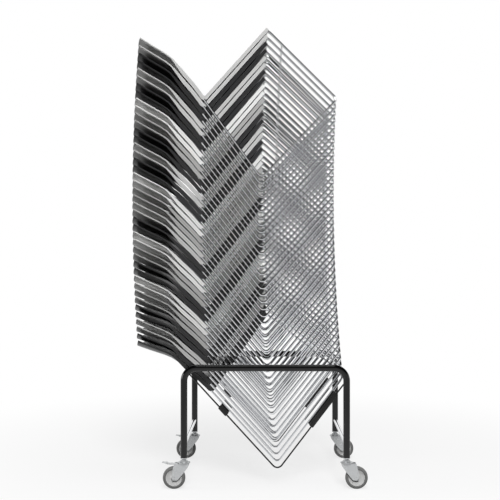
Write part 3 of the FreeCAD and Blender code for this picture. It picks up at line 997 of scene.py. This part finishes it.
stems = []
for end, end_name in ENDS:
    turn = Matrix.Rotation(math.pi if end < 0 else 0, 4, "Z")
    for side, side_name in SIDES:
        corner = f"{side_name}_{end_name}"
        place = Matrix.Translation((end * LEG_X, side * ARCH_Y, 0)) @ turn
        stems.append(copied(stem_master, place))
        for kind, (part, finish, body, slot) in CASTER_PARTS.items():
            if kind == "pedal" and end > 0:
                continue
            piece = copied(part, place, f"{kind}_finished_{corner}")
            dressed(piece, finish, f"{body}_{corner}", f"{kind}_{corner}")
dressed(joined(stems, "stems"), zinc, "trolley", "caster_stems")
removed(stem_master, *[part for part, *_ in CASTER_PARTS.values()])
print(len(stems), "casters placed")

# %% [markdown]
# The floor is a wide pale sheet. Near the object it takes the soft shadow, and further off it fades
# into the white of the background, so no horizon shows. Bright metal mirrors it a little darker
# with the distance, as a real room's floor is. Dull surfaces don't see it, so it throws no light up
# at the chairs and the undersides stay dark.

# %% Floor
FLOOR_SIZE = 40
FADE_FROM, FADE_TO = 0.7, 2.6
PALE_AT_THE_OBJECT = 0.74
MIRRORED_FAR_OFF = 0.7

deselect()
bpy.ops.mesh.primitive_plane_add(size=FLOOR_SIZE, location=(0, 0, 0))
floor = bpy.context.object
floor.name = "floor"
floor.visible_diffuse = False
floor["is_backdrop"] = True
paper, tree = material("pale studio floor")
where = add(tree, "ShaderNodeTexCoord").outputs["Object"]
distance = add(tree, "ShaderNodeVectorMath", {0: where}, operation="LENGTH")
far_off = add(tree, "ShaderNodeMapRange", {
    "Value": distance.outputs["Value"], "From Min": FADE_FROM, "From Max": FADE_TO,
}, interpolation_type="SMOOTHSTEP").outputs["Result"]
matt = add(tree, "ShaderNodeBsdfDiffuse", {"Color": linear("f2f2f2")})
paths = add(tree, "ShaderNodeLightPath").outputs
dimmed = add(tree, "ShaderNodeMapRange", {
    "Value": far_off, "To Min": 1.0, "To Max": MIRRORED_FAR_OFF,
})
whiteness = add(tree, "ShaderNodeMath", {
    0: dimmed.outputs["Result"], 1: paths["Is Camera Ray"],
}, operation="MAXIMUM")
glow = add(tree, "ShaderNodeEmission", {"Color": (1, 1, 1, 1), "Strength": whiteness.outputs[0]})
seen = add(tree, "ShaderNodeMath", {
    0: paths["Is Camera Ray"], 1: paths["Is Glossy Ray"],
}, operation="MAXIMUM")
pale = add(tree, "ShaderNodeMapRange", {
    "Value": far_off, "To Min": PALE_AT_THE_OBJECT, "To Max": 1.0,
})
fade = add(tree, "ShaderNodeMath", {
    0: pale.outputs["Result"], 1: seen.outputs[0],
}, operation="MULTIPLY")
mixed = add(tree, "ShaderNodeMixShader", {
    0: fade.outputs[0], 1: matt.outputs[0], 2: glow.outputs[0],
})
add(tree, "ShaderNodeOutputMaterial", {"Surface": mixed.outputs[0]})
floor.data.materials.append(paper)
print("the floor is white from", FADE_TO, "m off")

# %% [markdown]
# The camera sees pure white all round. Bright metal mirrors another room: white up to a little over
# eye level, dark at the ceiling, and bright again straight behind the stack, so a rod has pale
# sides and a dark upper line. Dull surfaces are lit by a weak sky that is dark low down, which
# keeps the undersides of the shells dark.

# %% The studio's room
EYE_LEVEL, CEILING = (0.12, "ececec"), (0.34, "161616")
WALL_EDGE, BACK_WALL = (0.78, "000000"), (0.92, "ffffff")
LOW_SKY, HIGH_SKY = (0.12, "101010"), (0.7, "ffffff")
SKY_STRENGTH = 0.3

world = bpy.data.worlds.new("studio")
bpy.context.scene.world = world
world.use_nodes = True
tree = world.node_tree
tree.nodes.clear()
direction = add(tree, "ShaderNodeTexCoord").outputs["Generated"]
parts = add(tree, "ShaderNodeSeparateXYZ", {0: direction}).outputs
ceiling = ramp(tree, parts["Z"], [EYE_LEVEL, CEILING])
back_wall = ramp(tree, parts["Y"], [WALL_EDGE, BACK_WALL])
mirrored_room = add(tree, "ShaderNodeMix", {
    "Factor": 1.0, 6: ceiling.outputs["Color"], 7: back_wall.outputs["Color"],
}, data_type="RGBA", blend_type="LIGHTEN")
sky = ramp(tree, parts["Z"], [LOW_SKY, HIGH_SKY])
paths = add(tree, "ShaderNodeLightPath").outputs
room = add(tree, "ShaderNodeBackground", {"Color": mirrored_room.outputs[2], "Strength": 1.0})
even = add(tree, "ShaderNodeBackground", {"Color": sky.outputs["Color"], "Strength": SKY_STRENGTH})
white = add(tree, "ShaderNodeBackground", {"Color": (1, 1, 1, 1), "Strength": 1.0})
lit = add(tree, "ShaderNodeMixShader", {
    0: paths["Is Glossy Ray"], 1: even.outputs[0], 2: room.outputs[0],
})
shown = add(tree, "ShaderNodeMixShader", {
    0: paths["Is Camera Ray"], 1: lit.outputs[0], 2: white.outputs[0],
})
add(tree, "ShaderNodeOutputWorld", {"Surface": shown.outputs[0]})
print(len(tree.nodes), "nodes make the room")

# %% [markdown]
# Three square softboxes light the stack. The key light is the brightest and stands high beside the
# camera. Metal doesn't mirror it, because every rod would turn white all over. A weaker one hangs
# overhead and one stands at the left, and both show in the metal.

# %% Softboxes
AIM = Vector((0, 0, 1))


def softbox(name, place, size, power, mirrored):
    lamp = bpy.data.lights.new(name, "AREA")
    lamp.shape = "SQUARE"
    lamp.size = size
    lamp.energy = power
    box = bpy.data.objects.new(name, lamp)
    bpy.context.scene.collection.objects.link(box)
    box.location = place
    box.visible_glossy = mirrored
    box.rotation_euler = (AIM - Vector(place)).to_track_quat("-Z", "Y").to_euler()
    print(name, "light of", power, "W")


softbox("key", (0.4, -4.2, 4.2), 1.8, 225, False)
softbox("overhead", (0, -0.4, 4.6), 2.0, 45, True)
softbox("left", (-4.4, -0.6, 1.3), 1.4, 40, True)

# %% [markdown]
# The picture's colours are kept as they are mixed here, without a film look. The finished model's
# box is compared with the exact model's box, and how far each corner moved is printed.

# %% The view's colour, the model's size, and the last check
bpy.context.scene.view_settings.view_transform = "Standard"
visual_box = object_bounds()
for name, one, other in zip(("lowest", "highest"), cad_box, visual_box):
    print(name, "corner moved by", [round((b - a) * 1000, 1) for a, b in zip(one, other)], "mm")
